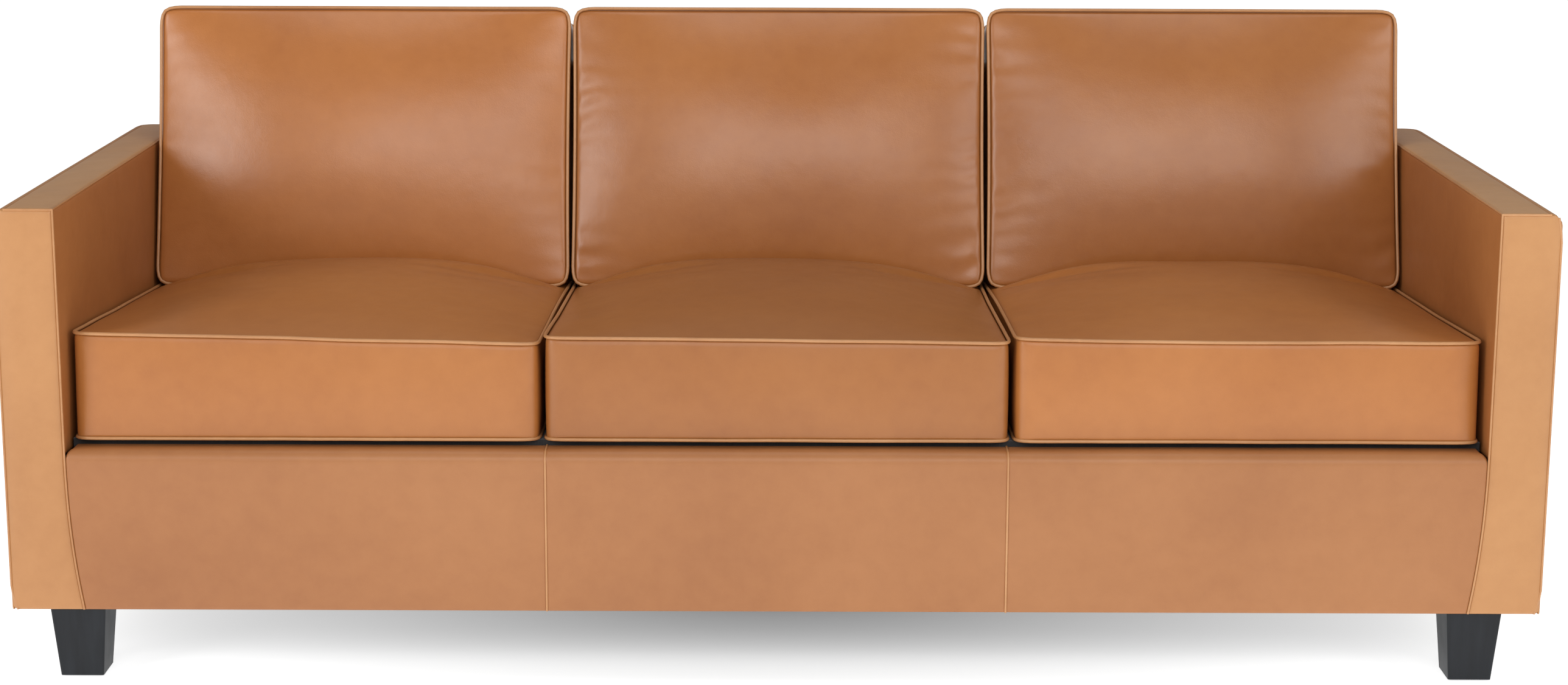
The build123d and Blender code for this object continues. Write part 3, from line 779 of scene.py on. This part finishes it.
def arm_outside(u, v):
    side_run, turn, rear_run = outside_plan()
    along = 0.29 * SEAM_ROLL + u * (side_run + turn + rear_run - 0.29 * SEAM_ROLL)
    if along <= side_run:
        point, out = Vector((HALF_W, FRONT + along, 0)), Vector((1, 0, 0))
    elif along <= side_run + turn:
        angle = (along - side_run) / REAR_ROUND
        out = Vector((math.cos(angle), math.sin(angle), 0))
        point = Vector((HALF_W - REAR_ROUND, HALF_D - REAR_ROUND, 0)) + out * REAR_ROUND
    else:
        out = Vector((0, 1, 0))
        point = Vector((HALF_W - REAR_ROUND - (along - side_run - turn), HALF_D, 0))
    straight = ARM_TOP - ARM_ROUND - BASE
    climb = v * (straight + math.pi / 2 * ARM_ROUND)
    if climb <= straight:
        return point + Vector((0, 0, BASE + climb)), out
    angle = (climb - straight) / ARM_ROUND
    normal = out * math.cos(angle) + Vector((0, 0, math.sin(angle)))
    return point - out * ARM_ROUND + Vector((0, 0, ARM_TOP - ARM_ROUND)) + normal * ARM_ROUND, normal


def rail_surface(left, right, follow_flare):
    """The front rail between two places along x, rolled back over its top edge."""
    depth = RAIL_HI.y - FRONT
    straight = RAIL_TOP - RAIL_ROUND - BASE
    turn = math.pi / 2 * RAIL_ROUND
    whole = straight + turn + depth - RAIL_ROUND

    def surface(u, v):
        climb = v * whole
        if climb <= straight:
            point, normal = Vector((0, FRONT, BASE + climb)), Vector((0, -1, 0))
        elif climb <= straight + turn:
            angle = (climb - straight) / RAIL_ROUND
            normal = Vector((0, -math.cos(angle), math.sin(angle)))
            point = Vector((0, FRONT + RAIL_ROUND, RAIL_TOP - RAIL_ROUND)) + normal * RAIL_ROUND
        else:
            normal = Vector((0, 0, 1))
            point = Vector((0, FRONT + RAIL_ROUND + climb - straight - turn, RAIL_TOP))
        far = right
        if follow_flare:
            far = right - flare(point.z) - corner_inset(RAIL_TOP - point.z, 0.012) * 0.6
        point.x = left + (far - left) * u
        return point, normal

    return surface, whole


def make_arms():
    leathers = {"front": ARM_LEATHER, "top": ARM_TOP_SHEEN_LEATHER, "inside": ARM_INSIDE_SHADE_LEATHER, "outside": ARM_LEATHER}
    width, height, depth = HALF_W - INNER_X, ARM_TOP - BASE, HALF_D - FRONT
    for side, label in ((1, "right"), (-1, "left")):
        seed = 3 + side
        front = (arm_front, (width, height), (0.008, 0.015), 0.0050, seed)
        top = (arm_top, (width, depth), (0.010, 0.020), 0.0030, seed + 10)
        inside = (arm_inside, (depth, ARM_TOP - RAIL_TOP), (0.03, 0.03), 0.0010, seed + 20)
        outside = (arm_outside, (sum(outside_plan()), height), (0.010, 0.005), 0.0020, seed + 30)
        for name, panel in (("front", front), ("top", top), ("inside", inside), ("outside", outside)):
            surface, size, steps, puff, panel_seed = panel
            sewn_panel(f"arm_{name}_{label}", surface, size, side, [f"arm_{name}_panel_{label}"], puff, steps,
                       panel_seed, leathers[name], ARM_GATHER if name == "front" else 0.0)
        padding_under(f"arm_wrap_{label}", [front, top, inside, outside], side, f"arm_padding_{label}")


def make_rail():
    steps = (0.03, 0.005)
    surface, whole = rail_surface(SEAM_X, INNER_X - 0.001, True)
    for side, label in ((1, "right"), (-1, "left")):
        sewn_panel(f"front_rail_{label}", surface, (INNER_X - SEAM_X, whole), side,
                   [f"front_rail_panel_{label}"], 0.0025, steps, 43 + side, RAIL_LEATHER)
    surface, whole = rail_surface(-SEAM_X, SEAM_X, False)
    sewn_panel("front_rail_middle", surface, (2 * SEAM_X, whole), 1, ["front_rail_panel_middle"],
               0.0025, steps, 51, RAIL_LEATHER)
    surface, whole = rail_surface(0.006 - INNER_X, INNER_X - 0.006 - FLARE, False)
    padding_under("front_rail_wrap", [(surface, (2 * INNER_X - FLARE, whole), (0.05, 0.005), 0.0, 52)], 1,
                  "front_rail_padding")


def make_back_cover():
    """The big outside back panel, stretched over the CAD panel behind it."""
    half = BACK_HI.x - 0.002

    def surface(u, v):
        x = -half + 2 * half * (1 - u)
        return Vector((x, HALF_D - 0.0005, BASE + (BACK_HI.z - 0.004 - BASE) * v)), Vector((0, 1, 0))

    sewn_panel("back_outside_cover", surface, (2 * half, BACK_HI.z - BASE), 1, [], 0.0035, (0.05, 0.05), 61)


def seam_paths():
    """The seams between panels, for the right half: name and points."""
    in_a_bit = 0.0012
    heights = [BASE + (ARM_TOP - BASE) * i / 24 for i in range(25)]
    inner_edge = [Vector((INNER_X + 0.0006 - flare(z), FRONT + in_a_bit, z)) for z in heights]
    depths = [FRONT + (HALF_D - FRONT) * i / 24 for i in range(25)]
    top_inner = [Vector((INNER_X + in_a_bit, y, ARM_TOP - in_a_bit)) for y in depths]
    top_front = [Vector((INNER_X + in_a_bit + (HALF_W - ARM_ROUND - INNER_X) * i / 8, FRONT + in_a_bit,
                         ARM_TOP - in_a_bit)) for i in range(9)]
    outer_edge = []
    for i in range(25):
        z = BASE + (ARM_TOP - ARM_ROUND * 0.3 - BASE) * i / 24
        cut = corner_inset(ARM_TOP - z, ARM_ROUND) + corner_inset(z - BASE, 0.008)
        outer_edge.append(Vector((HALF_W - in_a_bit - cut, FRONT + in_a_bit, z)))
    surface, _ = rail_surface(SEAM_X, INNER_X, False)
    rail = [surface(0, i / 24)[0] - surface(0, i / 24)[1] * 0.0006 for i in range(25)]
    return {"arm_inner_seam": inner_edge, "arm_top_inner_seam": top_inner, "arm_top_front_seam": top_front,
            "arm_outer_seam": outer_edge, "rail_seam": rail}


def make_seams():
    for name, points in seam_paths().items():
        for side, label in ((1, "right"), (-1, "left")):
            path = [(p.x * side, p.y, p.z) for p in points]
            seam = add_tube(f"{name}_{label}", path, SEAM_RIDGE, WELT_LEATHER)
            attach(seam, "frame")


# ---- studio ----
CAMERA_DISTANCE = 3.841
CAMERA_HEIGHT = 1.298
CAMERA_PITCH = math.radians(11.9)
CAMERA_ROLL = math.radians(0.2)
CAMERA_X = 0.0067
FOCAL_PIXELS = 4713
FRAME_PIXELS = 2576


def make_camera():
    data = bpy.data.cameras.new("camera")
    data.sensor_width = 36
    data.lens = FOCAL_PIXELS / FRAME_PIXELS * data.sensor_width
    camera = bpy.data.objects.new("camera", data)
    camera.location = (CAMERA_X, FRONT - CAMERA_DISTANCE, CAMERA_HEIGHT)
    camera.rotation_euler = (math.pi / 2 - CAMERA_PITCH, -CAMERA_ROLL, 0)
    bpy.context.collection.objects.link(camera)
    bpy.context.scene.camera = camera


def soft_light(name, location, target, width, height, power, color=(1, 1, 1)):
    data = bpy.data.lights.new(name, "AREA")
    data.shape = "RECTANGLE"
    data.size = width
    data.size_y = height
    data.energy = power
    data.color = color
    light = bpy.data.objects.new(name, data)
    light.location = location
    light.rotation_euler = (Vector(target) - Vector(location)).to_track_quat("-Z", "Y").to_euler()
    bpy.context.collection.objects.link(light)


def make_studio():
    bpy.ops.mesh.primitive_plane_add(size=40)
    floor = bpy.context.object
    floor.name = "floor"
    floor.data.materials.append(floor_material())
    make_world()
    soft_light("key_front", (0.25, -4.6, 2.7), (0, 0, 0.4), 4.2, 1.6, 86)
    soft_light("window_left", (-3.4, -3.0, 1.9), (0, 0, 0.5), 1.3, 2.2, 60)
    soft_light("window_right", (3.3, -2.8, 1.9), (0, 0, 0.5), 1.3, 2.2, 35)
    soft_light("above", (0, -0.4, 3.6), (0, 0, 0.4), 3.0, 1.4, 26)


def make_world():
    """A white studio that the camera sees bright and the sofa sees dimmer."""
    world = bpy.data.worlds.new("studio")
    world.use_nodes = True
    tree = world.node_tree
    seen = tree.nodes["Background"]
    seen.inputs["Strength"].default_value = 1.0
    seen.inputs["Color"].default_value = (1, 1, 1, 1)
    felt = tree.nodes.new("ShaderNodeBackground")
    felt.inputs["Strength"].default_value = 0.25
    felt.inputs["Color"].default_value = (1, 1, 1, 1)
    path = tree.nodes.new("ShaderNodeLightPath")
    mix = tree.nodes.new("ShaderNodeMixShader")
    tree.links.new(path.outputs["Is Camera Ray"], mix.inputs["Fac"])
    tree.links.new(felt.outputs["Background"], mix.inputs[1])
    tree.links.new(seen.outputs["Background"], mix.inputs[2])
    tree.links.new(mix.outputs["Shader"], tree.nodes["World Output"].inputs["Surface"])
    bpy.context.scene.world = world


dress_cad_nodes()
make_cushions()
make_arms()
make_rail()
make_back_cover()
make_seams()
make_camera()
make_studio()
bpy.context.scene.view_settings.view_transform = "Standard"
